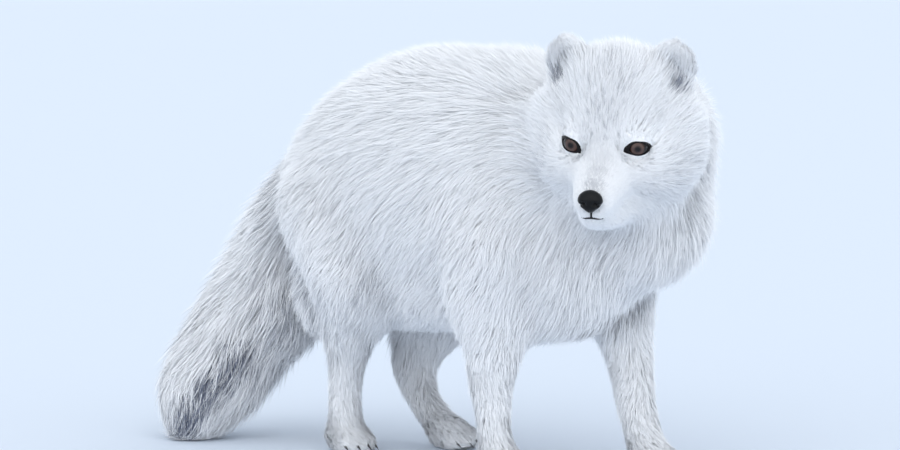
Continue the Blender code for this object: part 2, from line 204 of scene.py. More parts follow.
skinSize = {
    "swell": 0.0005,  # closes the thin cuts between the nodes
    "grain": 0.0027,
    "broadPasses": 26,
    "finePasses": 3,
    "headPasses": 14,
    "earPasses": 6,
    "steps": 8,
    "fineByEye": (0.019, 0.015),  # how far round each eye the faces are made smaller, twice
    "fineByNose": 0.022,
}
flesh = [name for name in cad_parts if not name.startswith("eye_") and name != "nose"]

# each node's depth of coat, length of hair, width of a blade, density, gathering into locks, and
# how far the few hairs that stand out rise above the rest; 0 is set along the part further down
coatColumns = ["depth", "length", "width", "density", "gather", "proud"]
coats = {
    "trunk": (0.026, 0.034, 0.00078, 1.0, 0.34, 0.004),
    "neck": (0.028, 0.036, 0.00078, 1.0, 0.34, 0.006),
    "head": (0, 0, 0, 0, 0.35, 0),
    "ear": (0.0028, 0.0135, 0.00055, 6.5, 0.40, 0.007),
    "tail_root": (0.026, 0.046, 0.00090, 1.0, 0.55, 0.008),
    "tail_tip": (0.026, 0.046, 0.00090, 1.2, 0.62, 0.009),
    "upper_leg": (0, 0, 0.00075, 1.2, 0.40, 0.004),
    "lower_leg": (0, 0, 0.00062, 2.8, 0.18, 0.002),
    "paw": (0, 0, 0.00055, 5.0, 0.15, 0.002),
}


def coatOf(node):
    return next(values for name, values in coats.items() if name in node)


def joinedFlesh():
    shell = bmesh.new()
    for name in flesh:
        piece = bmesh.new()
        piece.from_mesh(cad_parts[name].data)
        bmesh.ops.remove_doubles(piece, verts=piece.verts, dist=0.00002)
        piece.normal_update()
        swollen = [vert.co + vert.normal * skinSize["swell"] for vert in piece.verts]
        for vert, place in zip(piece.verts, swollen):
            vert.co = place
        data = bpy.data.meshes.new("fleshPart")
        piece.to_mesh(data)
        piece.free()
        shell.from_mesh(data)
        bpy.data.meshes.remove(data)
    data = bpy.data.meshes.new("skin")
    shell.to_mesh(data)
    shell.free()
    return linked("skin", data)


def keepLargest(thing):
    shell = bmesh.new()
    shell.from_mesh(thing.data)
    left, best = set(shell.verts), []
    while left:
        seed = left.pop()
        patch, edgeOfPatch = [seed], [seed]
        while edgeOfPatch:
            vert = edgeOfPatch.pop()
            for link in vert.link_edges:
                other = link.other_vert(vert)
                if other in left:
                    left.remove(other)
                    patch.append(other)
                    edgeOfPatch.append(other)
        if len(patch) > len(best):
            best = patch
    keep = set(best)
    loose = [vert for vert in shell.verts if vert not in keep]
    bmesh.ops.delete(shell, geom=loose, context="VERTS")
    bmesh.ops.triangulate(shell, faces=shell.faces)
    shell.to_mesh(thing.data)
    shell.free()


def finerFace(thing):
    # smaller faces round the eyes and the mouth, for clean edges there
    shell = bmesh.new()
    shell.from_mesh(thing.data)
    spots = [
        (head @ Vector((side * eyeSpan, openingAhead, 0)), reach)
        for reach in skinSize["fineByEye"]
        for side in (1, -1)
    ]
    spots.append((head @ noseSpot, skinSize["fineByNose"]))
    for spot, reach in spots:
        near = [
            edge
            for edge in shell.edges
            if ((edge.verts[0].co + edge.verts[1].co) / 2 - spot).length < reach
        ]
        bmesh.ops.subdivide_edges(shell, edges=near, cuts=1)
        wide = [face for face in shell.faces if len(face.verts) > 3]
        bmesh.ops.triangulate(shell, faces=wide)
    shell.to_mesh(thing.data)
    shell.free()


def readPoints(mesh):
    flat = np.empty(len(mesh.vertices) * 3, dtype=np.float32)
    mesh.vertices.foreach_get("co", flat)
    return flat.reshape(-1, 3).astype(np.float64)


def readFaces(mesh):
    flat = np.empty(len(mesh.polygons) * 3, dtype=np.int32)
    mesh.polygons.foreach_get("vertices", flat)
    return flat.reshape(-1, 3)


def linksOf(faces):
    pairs = np.concatenate([faces[:, [0, 1]], faces[:, [1, 2]], faces[:, [2, 0]]])
    return np.unique(np.sort(pairs, axis=1), axis=0)


def evened(values, links, passes):
    # each value drawn towards the mean of its neighbours
    ends = np.concatenate([links[:, 0], links[:, 1]])
    others = np.concatenate([links[:, 1], links[:, 0]])
    count = len(values)
    share = 1.0 / np.maximum(np.bincount(ends, minlength=count), 1)
    flat = values.reshape(count, -1).copy()
    for _ in range(passes):
        columns = [np.bincount(ends, column[others], count) * share for column in flat.T]
        flat = 0.5 * flat + 0.5 * np.stack(columns, axis=1)
    return flat.reshape(values.shape)


def unit(vectors):
    return vectors / np.maximum(np.linalg.norm(vectors, axis=-1, keepdims=True), 1e-9)


def cornerNormals(points, faces):
    a, b, c = points[faces[:, 0]], points[faces[:, 1]], points[faces[:, 2]]
    cross = np.cross(b - a, c - a)
    total = np.zeros_like(points)
    for column in range(3):
        for corner in range(3):
            total[:, column] += np.bincount(faces[:, corner], cross[:, column], len(points))
    return unit(total)


def ownerOfEach(points):
    corners, triangles, owners = [], [], []
    for name in flesh:
        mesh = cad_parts[name].data
        start = len(corners)
        corners += [vert.co.copy() for vert in mesh.vertices]
        triangles += [[start + i for i in face.vertices] for face in mesh.polygons]
        owners += [flesh.index(name)] * len(mesh.polygons)
    tree = BVHTree.FromPolygons(corners, triangles)
    return np.array([owners[tree.find_nearest(Vector(point))[2]] for point in points])


skin = joinedFlesh()
applyModifier(skin, "REMESH", mode="VOXEL", voxel_size=skinSize["grain"], adaptivity=0.0)
keepLargest(skin)
finerFace(skin)
tips = readPoints(skin.data)
faces = readFaces(skin.data)
links = linksOf(faces)
owner = ownerOfEach(tips)
print("hull joined:", len(tips), "points,", len(faces), "faces")


def byNode(key):
    column = coatColumns.index(key)
    return np.array([float(coatOf(name)[column]) for name in flesh])[owner]


def isPart(word):
    return np.array([word in name for name in flesh])[owner]


def eyeDistance(local):
    spots = [np.array([side * eyeSpan, openingAhead, 0]) for side in (1, -1)]
    return np.minimum(*(lengths(local - spot) for spot in spots))


def roundHull(points):
    # facets melt away on the broad forms, while toes, muzzle and ears keep theirs
    broad = evened(points, links, skinSize["broadPasses"])
    fine = evened(points, links, skinSize["finePasses"])
    for part in ("head", "ear"):
        fine[isPart(part)] = evened(points, links, skinSize[part + "Passes"])[isPart(part)]
    local = placed(headBack, points)
    nearNose = lengths(local - noseAt)
    soft = np.ones(len(points))
    soft[isPart("paw") | isPart("ear")] = 0.0
    soft[isPart("lower_leg")] = 0.35
    onHead = isPart("head")
    soft[onHead] = np.interp(nearNose[onHead], [0.05, 0.11], [0.0, 1.0])
    soft[onHead] *= np.interp(eyeDistance(local)[onHead], [0.016, 0.03], [0.0, 1.0])
    soft = evened(soft, links, 10)[:, None]
    return broad * soft + fine * (1 - soft)


tips = roundHull(tips)
local = placed(headBack, tips)

# the tail's line, root to tip, on the floor at its end
tailRun = [
    (0.000, 0.151, 0.210), (-0.010, 0.183, 0.178), (-0.020, 0.203, 0.140), (-0.031, 0.216, 0.104),
    (-0.048, 0.225, 0.071), (-0.070, 0.230, 0.043), (-0.083, 0.230, 0.023), (-0.092, 0.231, 0.012),
]
depthBy = {  # depth of the coat where it changes along a part, by distance or height
    "nose": ([0.008, 0.030, 0.055, 0.080, 0.100, 0.140],
             [0.0008, 0.0018, 0.0035, 0.0060, 0.011, 0.020]),
    "eye": ([0.010, 0.018, 0.030], [0.0025, 0.0048, 0.040]),
    "legHeight": ([0.0, 0.03, 0.095, 0.14, 0.18], [0.0026, 0.0042, 0.0062, 0.011, 0.018]),
    "tailEnd": ([0.0, 0.06], [0.008, 0.026]),
}
fromNose = lengths(local - noseAt)
fromEye = eyeDistance(local)
onHead = isPart("head")
onLeg = isPart("leg") | isPart("paw")


def coatDepth():
    depth = byNode("depth")
    snout = np.interp(fromNose, *depthBy["nose"])
    lids = np.interp(fromEye, *depthBy["eye"])
    depth[onHead] = np.minimum(snout, lids)[onHead]
    depth[onLeg] = np.interp(tips[:, 2], *depthBy["legHeight"])[onLeg]
    tipEnd = lengths(tips - np.array(tailRun[-1]))
    onTip = isPart("tail_tip")
    depth[onTip] = np.minimum(depth, np.interp(tipEnd, *depthBy["tailEnd"]))[onTip]
    return evened(depth, links, 14)


depth = coatDepth()


def sunken(points):
    inner = points.copy()
    for _ in range(skinSize["steps"]):
        inner -= cornerNormals(inner, faces) * (depth / skinSize["steps"])[:, None]
        inner = evened(inner, links, 2) * 0.7 + inner * 0.3
    return inner


eye = {
    "turn": 33.0,  # each eye faces a little outwards
    "tilt": {1: 1.5, -1: 18.5},  # its outer corner is the higher one
    "tear": {1: 0.0009, -1: 0.0003},  # how far the inner corner is drawn out
    "inset": {1: 0.0008, -1: 0.0},  # nearer to the nose
    "arch": 0.40,  # how much fuller the upper lid is on its inner side
    "droop": 0.0014,  # how far the inner corner hangs
    "openWide": 0.0084,
    "openHigh": 0.0044,
    "rimWide": 0.0118,
    "rimHigh": 0.0058,
    "gaze": 0.55,  # how far the pupils turn to look ahead
    "ahead": (0.10, -1, 0.05),
    "bulge": (0.22, 0.0007),  # the clear front of the ball: its width and height
    "iris": 0.65,
    "pupil": 0.23,
}


socket = {  # the skin round an eye, measured in its rims unless it says otherwise
    "reach": 2.6,
    "fade": 0.8,
    "under": ([0.5, 0.8, 1.0, 1.4], [0.0032, 0.0016, -0.0004, -0.0012]),
    "held": ([0.0140, 0.0190], [1.0, 0.0]),  # by distance from the middle of the ball
    "ahead": ([-0.002, 0.010], [1.0, 0.0]),  # by depth from there
    "front": -0.03,
    "back": 0.020,
    "orbit": ([1.0, 1.4, 2.2, 5.5], [0.0, 1.0, 1.0, 0.0]),
    "orbitPasses": 30,
    "orbitReach": 0.045,
    "orbitBack": 0.012,
    "lift": ([0.8, 1.1, 2.0], [0.0, 0.0006, 0.0016]),
    "pull": ([0.001, 0.004], [0.0, 1.0]),
}


def eyeFrame(side):
    return (
        head
        @ Matrix.Translation((side * (eyeSpan - eye["inset"][side]), 0.0, 0.0))
        @ Matrix.Rotation(math.radians(side * eye["turn"]), 4, "Z")
        @ Matrix.Rotation(math.radians(-side * eye["tilt"][side]), 4, "Y")
    )


def onEye(side, points):
    return placed(eyeFrame(side).inverted(), points)


def domeDepth(across, radius):
    # a ball's front, carried on as a cone past three fifths of its radius
    edge = 0.60 * radius
    inside = np.minimum(across, edge)
    slope = edge / math.sqrt(radius**2 - edge**2)
    return radius - np.sqrt(radius**2 - inside**2) + slope * (across - inside)


def rimOf(side, at):
    # 1 along the outer edge of the lids, which is an almond with drawn-out corners
    inward = np.clip(-side * at[:, 0] / eye["rimWide"], 0, 1.2)
    wide = np.abs(at[:, 0]) / (eye["rimWide"] + eye["tear"][side] * np.minimum(inward * 4, 1))
    high = np.abs(at[:, 2] + eye["droop"] * inward**2) / eye["rimHigh"]
    high *= 1 - 0.4 * eye["arch"] * np.minimum(inward * 2, 1) * (at[:, 2] > 0)
    return (wide**1.8 + high**1.5) ** 0.62


def nearEye(at, rim):
    # how much of the skin round an eye, and of the part's socket behind it, is drawn over the ball
    held = np.interp(lengths(at), *socket["held"])
    ahead = np.interp(at[:, 1], *socket["ahead"])
    between = (at[:, 1] < socket["back"]) * (at[:, 1] > socket["front"])
    return np.maximum(held, ahead) * (rim < socket["reach"]) * between


def seatEyes(points):
    for side in (1, -1):
        at = onEye(side, points)
        rim = rimOf(side, at)
        across = np.hypot(at[:, 0], at[:, 2])
        under = np.interp(rim, *socket["under"])
        seat = -(eyeRadius - under - domeDepth(across, eyeRadius))
        seat = np.where(rim > 1, np.minimum(seat, at[:, 1]), seat)
        share = np.clip((socket["reach"] - rim) / socket["fade"], 0, 1)
        drawn = nearEye(at, rim)
        share = share * share * (3 - 2 * share) * drawn
        near = drawn > 0
        at[near, 1] = (seat * share + at[:, 1] * (1 - share))[near]
        moved = placed(eyeFrame(side), at)
        points = np.where(near[:, None], moved, points)
    return points


def evenedOrbits(points):
    # the edges of the part's sockets smoothed away round the lids
    soft = evened(points, links, socket["orbitPasses"])
    for side in (1, -1):
        at = onEye(side, points)
        share = np.interp(rimOf(side, at), *socket["orbit"])
        share *= (lengths(at) < socket["orbitReach"]) & (at[:, 1] < socket["orbitBack"])
        points = points * (1 - share[:, None]) + soft * share[:, None]
    return points


def liftedTips(points):
    # the tips of the short hair round the eyes stay just above the skin
    for side in (1, -1):
        at, under = onEye(side, points), onEye(side, inner)
        rim = rimOf(side, under)
        sunk = onEye(side, sunkenTips)
        near = nearEye(sunk, rimOf(side, sunk)) > 0
        raised = under.copy()
        raised[:, 1] -= np.interp(rim, *socket["lift"])
        pulled = np.interp(sunk[:, 1] - under[:, 1], *socket["pull"])[:, None]
        at[:, 1] = np.minimum(at[:, 1], raised[:, 1])
        at = raised * pulled + at * (1 - pulled)
        points = np.where(near[:, None], placed(eyeFrame(side), at), points)
    return points


sunkenTips = sunken(tips)
inner = seatEyes(evenedOrbits(seatEyes(sunkenTips)))
tips = liftedTips(evenedOrbits(tips))
skin.data.vertices.foreach_set("co", inner.astype(np.float32).ravel())
skin.data.update()
skin.data.shade_smooth()
print("skin sunk under the coat")

whiteCoat = np.array([0.950, 0.960, 0.980])
# the grey of the smoke-grey hairs, also mixed in as painted shade at the ear bases and in the crevice
# by the tail
smokeAndShadeCoat = np.array([0.145, 0.165, 0.225])
skinShade = 0.97  # the skin a little darker than the hair over it
smokeAndShadePatches = [  # place, reach, share of smoke-grey hairs, their darkness; some of it is painted shade, as marked below
    ((-0.074, 0.186, 0.068), 0.013, 0.92, 1.00),
    ((-0.085, 0.192, 0.054), 0.015, 0.92, 1.00),
    ((-0.095, 0.200, 0.041), 0.015, 0.94, 1.00),
    ((-0.102, 0.212, 0.026), 0.015, 0.92, 1.00),
    ((-0.099, 0.222, 0.010), 0.013, 0.92, 1.00),
    # from here the patches grey the hair beside the tail, on the rump and down the thigh; in the
    # crevice between tail and thigh the grey is painted shade as well as grey hair
    ((-0.084, 0.196, 0.078), 0.009, 0.45, 0.85),
    ((-0.062, 0.180, 0.078), 0.013, 0.40, 0.85),
    ((-0.049, 0.181, 0.056), 0.022, 0.50, 0.45),
    ((-0.043, 0.159, 0.098), 0.034, 0.45, 0.60),
    ((-0.060, 0.124, 0.145), 0.036, 0.35, 0.50),
    ((-0.040, 0.180, 0.135), 0.030, 0.25, 0.45),
    ((-0.070, 0.026, 0.136), 0.024, 0.35, 0.38),
    ((-0.069, 0.087, 0.112), 0.040, 0.35, 0.35),
]
headPatches = [  # the same, in the head's own frame
    # painted shade: these two patches darken the bases of the ears, where shade falls in the cups
    ((-0.0520, 0.0450, 0.0450), 0.0075, 0.95, 0.90),
    ((0.0505, 0.0435, 0.0430), 0.0095, 0.90, 0.80),
    ((0.0, -0.024, -0.004), 0.012, 1.00, 0.14),
    ((0.0, -0.036, -0.011), 0.011, 1.00, 0.22),
    ((0.0, -0.049, -0.018), 0.010, 1.00, 0.32),
    ((0.0, -0.008, 0.020), 0.014, 0.20, 0.50),
    ((0.0, 0.0, 0.036), 0.022, 0.18, 0.50),
    ((0.0, 0.010, 0.056), 0.026, 0.16, 0.40),
    ((0.060, 0.020, -0.020), 0.024, 0.22, 0.42),
    ((-0.058, 0.016, -0.022), 0.018, 0.26, 0.44),
    ((-0.058, 0.018, 0.002), 0.016, 0.16, 0.38),
]


def coatTint(mixed):
    return whiteCoat * (1 - mixed) + smokeAndShadeCoat * mixed


# how grey the hair is at each point: smoke-grey hairs, and painted shade where the patches are marked
# as such
def smokeAndShadeAt(points):
    share, dark = np.zeros(len(points)), np.zeros(len(points))
    for patches, places in ((smokeAndShadePatches, points), (headPatches, placed(headBack, points))):
        for place, reach, amount, darkness in patches:
            away = lengths(places - np.array(place)) / reach
            fade = np.exp(-(away**2))
            share = np.maximum(share, amount * fade)
            dark = np.maximum(dark, darkness * np.minimum(1, 1.6 * fade))
    return share, dark


def colourMesh(mesh, colours):
    layer = mesh.attributes.new("tint", "FLOAT_COLOR", "POINT")
    rgba = np.ones((len(colours), 4), dtype=np.float32)
    rgba[:, :3] = colours
    layer.data.foreach_set("color", rgba.ravel())


def addNode(tree, kind, **values):
    made = tree.nodes.new(kind)
    for name, value in values.items():
        if name in made.inputs:
            made.inputs[name].default_value = value
        else:
            setattr(made, name, value)
    return made


def addBump(tree, shader, height, strength, distance):
    bump = addNode(tree, "ShaderNodeBump", Strength=strength, Distance=distance)
    tree.links.new(height, bump.inputs["Height"])
    tree.links.new(bump.outputs["Normal"], shader.inputs["Normal"])


def multiplied(tree, amount, first, second):
    mix = addNode(tree, "ShaderNodeMix", data_type="RGBA", blend_type="MULTIPLY")
    mix.inputs[0].default_value = amount
    tree.links.new(first, mix.inputs[6])
    tree.links.new(second, mix.inputs[7])
    return mix.outputs[2]


def skinMaterial():
    made, tree, shader = newMaterial("softSkin", 0.7)
    tint = addNode(tree, "ShaderNodeAttribute", attribute_name="tint")
    place = addNode(tree, "ShaderNodeTexCoord")
    nap = addNode(tree, "ShaderNodeTexNoise", Scale=900.0, Detail=3.0)
    tree.links.new(place.outputs["Object"], nap.inputs["Vector"])
    addBump(tree, shader, nap.outputs["Fac"], 0.35, 0.0005)
    shade = multiplied(tree, 0.15, tint.outputs["Color"], nap.outputs["Color"])
    tree.links.new(shade, shader.inputs["Base Color"])
    return made


def coatMaterial():
    made, tree, shader = newMaterial("winterCoat", 0.62)
    tint = addNode(tree, "ShaderNodeAttribute", attribute_name="tint")
    tree.links.new(tint.outputs["Color"], shader.inputs["Base Color"])
    shader.inputs["Specular IOR Level"].default_value = 0.25
    shader.inputs["Sheen Weight"].default_value = 0.15
    shader.inputs["Sheen Roughness"].default_value = 0.5
    return made


share, dark = smokeAndShadeAt(inner)
mixed = (share * dark)[:, None]
colourMesh(skin.data, coatTint(mixed) * skinShade)
skin.data.materials.append(skinMaterial())
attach(skin, "root")
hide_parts(*flesh)


def finishPiece(piece, name, material, node=None):
    piece.name = name
    piece.data.name = name
    piece.data.materials.append(material)
    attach(piece, "root")
    if node:
        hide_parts(node)


def eyeMaterial():
    made, tree, shader = newMaterial("wetEye", 0.05)
    gaze = addNode(tree, "ShaderNodeAttribute", attribute_name="gaze")
    away = addNode(tree, "ShaderNodeVectorMath", operation="LENGTH")
    tree.links.new(gaze.outputs["Vector"], away.inputs[0])
    rays = addNode(tree, "ShaderNodeTexNoise", Scale=9.0, Detail=4.0, Roughness=0.7)
    ways = addNode(tree, "ShaderNodeVectorMath", operation="NORMALIZE")
    tree.links.new(gaze.outputs["Vector"], ways.inputs[0])
    tree.links.new(ways.outputs["Vector"], rays.inputs["Vector"])
    ramp = addNode(tree, "ShaderNodeValToRGB")
    stops = ramp.color_ramp.elements
    wanted = [
        (0.0, (0.004, 0.003, 0.004)),
        (eye["pupil"] - 0.07, (0.008, 0.004, 0.006)),
        (eye["pupil"] + 0.09, (0.105, 0.064, 0.056)),
        (0.44, (0.125, 0.074, 0.062)),
        (eye["iris"] - 0.10, (0.050, 0.022, 0.016)),
        (eye["iris"], (0.004, 0.003, 0.003)),
    ]
    while len(stops) < len(wanted):
        stops.new(0.5)
    for stop, (place, colour) in zip(stops, wanted):
        stop.position = place
        stop.color = (*colour, 1)
    tree.links.new(away.outputs["Value"], ramp.inputs["Fac"])
    streak = multiplied(tree, 0.6, ramp.outputs["Color"], rays.outputs["Color"])
    tree.links.new(streak, shader.inputs["Base Color"])
    shader.inputs["Specular IOR Level"].default_value = 0.30
    return made


def addEye(side, name, node, material):
    frameHere = eyeFrame(side)
    ahead = (frameHere.to_3x3() @ Vector((0, -1, 0))).normalized()
    forward = (head.to_3x3() @ Vector(eye["ahead"])).normalized()
    gaze = ahead.lerp(forward, eye["gaze"]).normalized()
    turn = gaze.to_track_quat("Z", "Y").to_matrix().to_4x4()
    turn.translation = frameHere.translation
    deselectAll()
    bpy.ops.mesh.primitive_uv_sphere_add(segments=64, ring_count=40, radius=eyeRadius)
    ball = bpy.context.object
    layer = ball.data.attributes.new("gaze", "FLOAT_VECTOR", "POINT")
    wide, high = eye["bulge"]
    for index, vert in enumerate(ball.data.vertices):
        lean = vert.co.normalized()
        layer.data[index].vector = (lean.x, lean.y, 0.0 if lean.z > 0 else 1.0)
        bulge = max(0.0, 1 - (1 - lean.z) / wide)
        vert.co = lean * (eyeRadius + high * bulge)
    ball.data.transform(turn)
    ball.data.shade_smooth()
    finishPiece(ball, name, material, node)


lid = {
    "rings": [  # out from the opening, lift above the eyeball
        (-0.0006, -0.0022), (-0.0002, -0.0004), (0.0000, 0.0003), (0.0003, 0.0007),
        (0.0007, 0.0008), (0.0011, 0.0005), (0.0016, -0.0003), (0.0022, -0.0016),
    ],
    "steps": 72,
    "sideways": 2.3,  # the rings widen this much faster than they rise
    "outerPoint": 1.30,
    "innerPoint": 1.0,
    "upper": 1.05,
    "lower": 0.92,
    "slant": 0.0005,
    "outerTear": 0.0028,
    "tearFrom": 0.0007,
    "droop": 0.8,
}


def gridMesh(name, rows):
    # loops of points joined into quads
    width = len(rows[0])
    points = [tuple(point) for row in rows for point in row]
    quads = []
    for r in range(len(rows) - 1):
        here, above = r * width, (r + 1) * width
        for c in range(width):
            beside = (c + 1) % width
            quads.append((here + c, here + beside, above + beside, above + c))
    data = bpy.data.meshes.new(name)
    data.from_pydata(points, [], quads)
    return linked(name, data)


def addLids(side, name, material):
    turn = eyeFrame(side)
    rows = []
    for out, lift in lid["rings"]:
        wide, high = eye["openWide"] + lid["sideways"] * out, eye["openHigh"] + out
        opened = min(1.0, max(0.0, out) / lid["tearFrom"])
        row = []
        for step in range(lid["steps"]):
            angle = math.tau * step / lid["steps"]
            lean, outward = math.sin(angle), math.cos(angle)
            inward = max(0.0, -outward)
            point = lid["outerPoint"] if outward > 0 else lid["innerPoint"]
            fuller = lid["upper"] if lean > 0 else lid["lower"]
            z = high * math.copysign(abs(lean) ** point, lean) * fuller
            z *= 1 + eye["arch"] * inward * max(0.0, lean)
            z -= lid["slant"] * outward
            z -= eye["droop"] * inward**2 * lid["droop"]
            tear = lid["outerTear"] * max(0.0, outward) ** 10 - eye["tear"][side] * inward**6
            x = wide * outward + tear * opened
            across = math.hypot(x, z)
            y = -(eyeRadius + lift - float(domeDepth(np.array(across), eyeRadius + lift)))
            row.append(turn @ Vector((side * x, y, z)))
        rows.append(row if side > 0 else row[::-1])
    lids = gridMesh(name, rows)
    lids.data.shade_smooth()
    finishPiece(lids, name, material)


def leatherMaterial(name, colour, roughness, grain):
    made, tree, shader = newMaterial(name, roughness, colour)
    shader.inputs["Specular IOR Level"].default_value = 0.20
    place = addNode(tree, "ShaderNodeTexCoord")
    cells = addNode(tree, "ShaderNodeTexVoronoi", Scale=grain)
    tree.links.new(place.outputs["Object"], cells.inputs["Vector"])
    addBump(tree, shader, cells.outputs["Distance"], 0.5, 0.0003)
    return made


nose = {
    "wide": 0.0099,
    "deep": 0.0068,
    "high": 0.0090,
    "rise": 0.0002,
    "outline": ([-1, -0.5, 0.0, 0.6, 1], [0.50, 0.84, 1.0, 1.02, 0.95]),  # its width by height
    "nostril": 0.0028,
    "slit": 0.0016,
    "pinch": 0.0010,
    "groove": 0.0005,
    "wing": 0.0006,
}


def dimple(x, z, place, size):
    # 1 at a place on either side of the nose, fading round it
    return math.exp(-(((abs(x) - place[0]) / size[0]) ** 2) - ((z - place[1]) / size[1]) ** 2)


def addNose():
    deselectAll()
    bpy.ops.mesh.primitive_uv_sphere_add(segments=80, ring_count=48, radius=1.0)
    pad = bpy.context.object
    for vert in pad.data.vertices:
        x, y, z = vert.co
        wide = float(np.interp(z, *nose["outline"]))
        place = Vector((x * wide * nose["wide"], y * nose["deep"], z * nose["high"]))
        if y < 0.2:
            hole = dimple(x, z, (0.46, -0.12), (0.20, 0.17))
            slit = dimple(x, z, (0.78, -0.30), (0.20, 0.09))
            wing = dimple(x, z, (0.62, 0.22), (0.30, 0.20))
            groove = math.exp(-((x / 0.07) ** 2)) * float(np.interp(z, [-1, 0.0, 0.3], [1, 0.8, 0]))
            place.y += (
                nose["nostril"] * hole
                + nose["slit"] * slit
                + nose["groove"] * groove
                - nose["wing"] * wing
            )
            place.x -= math.copysign(nose["pinch"] * slit, x)
        vert.co = head @ (noseSpot + Vector((0, 0, nose["rise"])) + place)
    pad.data.shade_smooth()
    leather = leatherMaterial("noseLeather", (0.002, 0.0025, 0.0035), 0.30, 1600.0)
    finishPiece(pad, "nosePad", leather, "nose")


def addTube(name, path, radii, material):
    sides, rows = 8, []
    for index, point in enumerate(path):
        before, after = path[max(index - 1, 0)], path[min(index + 1, len(path) - 1)]
        along = (after - before).normalized()
        across = along.orthogonal().normalized()
        if rows:
            across = (previous - along * previous.dot(along)).normalized()
        previous = across
        other = along.cross(across)
        turns = [math.tau * k / sides for k in range(sides)]
        rows.append([
            point + (across * math.cos(turn) + other * math.sin(turn)) * radii[index] for turn in turns
        ])
    tube = gridMesh(name, rows)
    shell = bmesh.new()
    shell.from_mesh(tube.data)
    bmesh.ops.holes_fill(shell, edges=[edge for edge in shell.edges if edge.is_boundary])
    bmesh.ops.recalc_face_normals(shell, faces=shell.faces)
    shell.to_mesh(tube.data)
    shell.free()
    tube.data.shade_smooth()
    finishPiece(tube, name, material)


skinTree = BVHTree.FromPolygons([Vector(point) for point in inner], faces.tolist())
tipTree = BVHTree.FromPolygons([Vector(point) for point in tips], faces.tolist())

mouth = {  # from under the nose round one side, in the head's frame
    "run": [
        (0.0, -0.0600, -0.0484), (0.003, -0.0590, -0.0485), (0.006, -0.0568, -0.0484),
        (0.009, -0.0530, -0.0481), (0.0100, -0.0512, -0.0480),
    ],
    "radii": [0.0008, 0.0008, 0.0007, 0.0005, 0.0003],
    "top": (0, -0.003, -0.0080),  # from the middle of the nose to where the cleft under it begins
    "cleftRadii": [0.0009, 0.0008, 0.0007, 0.0007, 0.0007],
    "lift": 0.0010,
}


def onSkin(point):
    place, normal = skinTree.find_nearest(point)[:2]
    return place + normal * mouth["lift"]


def addLips(material):
    for side, name in ((1, "lipLeft"), (-1, "lipRight")):
        path = [onSkin(head @ Vector((side * x, y, z))) for x, y, z in mouth["run"]]
        addTube(name, path, mouth["radii"], material)
    top = head @ (noseSpot + Vector(mouth["top"]))
    low = head @ Vector(mouth["run"][0])
    spans = len(mouth["cleftRadii"]) - 1
    path = [onSkin(top.lerp(low, step / spans)) for step in range(spans + 1)]
    addTube("philtrum", path, mouth["cleftRadii"], material)


paws = {  # middle of each paw on the floor, and how far its toes turn
    "front_right": ((-0.0425, -0.1059), -8.0),
    "front_left": ((0.0550, -0.1829), 6.0),
    "hind_right": ((-0.0395, 0.0836), -10.0),
    "hind_left": ((0.0400, 0.0441), 4.0),
}
claw = {
    "length": 0.0110,
    "root": 0.0017,
    "curve": 0.0022,
    "thickness": 0.75,
    "drop": 18.0,
    "height": 0.0080,
    "toes": {"Outer": (0.0142, -0.0165), "Inner": (0.0050, -0.0215)},
}


def modelClaw():
    deselectAll()
    size = {"radius1": claw["root"], "radius2": 0.0, "depth": claw["length"]}
    bpy.ops.mesh.primitive_cone_add(vertices=12, **size)
    model = bpy.context.object
    editAll(model, bpy.ops.mesh.subdivide, number_cuts=4)
    for vert in model.data.vertices:
        along = vert.co.z / claw["length"] + 0.5
        vert.co.y -= claw["curve"] * along * along
        vert.co.x *= claw["thickness"]
    model.data.shade_smooth()
    return model


def addClaws(material):
    model = modelClaw()
    lie = Matrix.Rotation(math.pi / 2 + math.radians(claw["drop"]), 4, "X")
    outwards = Matrix.Translation((0, 0, claw["length"] / 2))
    for name, ((x, y), turn) in paws.items():
        onFloor = Matrix.Translation((x, y, 0)) @ Matrix.Rotation(math.radians(turn), 4, "Z")
        for toe, (sideways, forward) in claw["toes"].items():
            for side, hand in ((1, "left"), (-1, "right")):
                piece = linked(name, model.data.copy())
                root = Matrix.Translation((side * sideways, forward, claw["height"]))
                piece.data.transform(onFloor @ root @ lie @ outwards)
                finishPiece(piece, f"claw_{name}_{toe}_{hand}", material)
    bpy.data.objects.remove(model)


wetEye = eyeMaterial()
lidSkin = leatherMaterial("lidSkin", (0.004, 0.003, 0.004), 0.38, 2200.0)
addEye(1, "eyeballLeft", "eye_left", wetEye)
addEye(-1, "eyeballRight", "eye_right", wetEye)
addLids(1, "lidsLeft", lidSkin)
addLids(-1, "lidsRight", lidSkin)
addNose()
addLips(lidSkin)
addClaws(newMaterial("clawHorn", 0.4, (0.045, 0.040, 0.042))[0])
print("eyes, nose, lips and claws made")

tipNormals = cornerNormals(tips, faces)
cover = tips - inner

lieBy = {  # which way the hair lies
    "fall": ([0.12, 0.20, 0.28, 0.34], [1.6, 1.1, 0.7, 0.12]),  # how steeply, by height
    "thigh": (0.0, 0.55, -1.0),
    "shin": (0.0, 0.12, -1.0),
    "toes": (0.0, -0.9, -0.45),
    "toeHeight": ([0.014, 0.052], [1.0, 0.0]),
    "tailOut": 0.25,
    "tailDown": -0.35,
    "chin": ([-0.07, -0.03], [0.5, 0.0]),
    "roundEye": ([0.010, 0.026], [1.5, 0.0]),
    "eyeSpot": (0.002, -0.008),  # outwards and forwards from the middle of the eye
    "earOut": 0.25,
    "sways": [(0.20, 55, 0.3), (0.14, 150, 1.1)],  # amount, waves and their turn
    "swayByNose": ([0.05, 0.14], [0.3, 1.0]),
}


def wave(points, scale, turn):
    x, y, z = (points * scale).T
    across = np.sin(x + 1.7 * np.sin(y * 0.9 + turn))
    return across * np.cos(z * 1.1 + 1.3 * np.sin(x * 0.7 + y + turn))


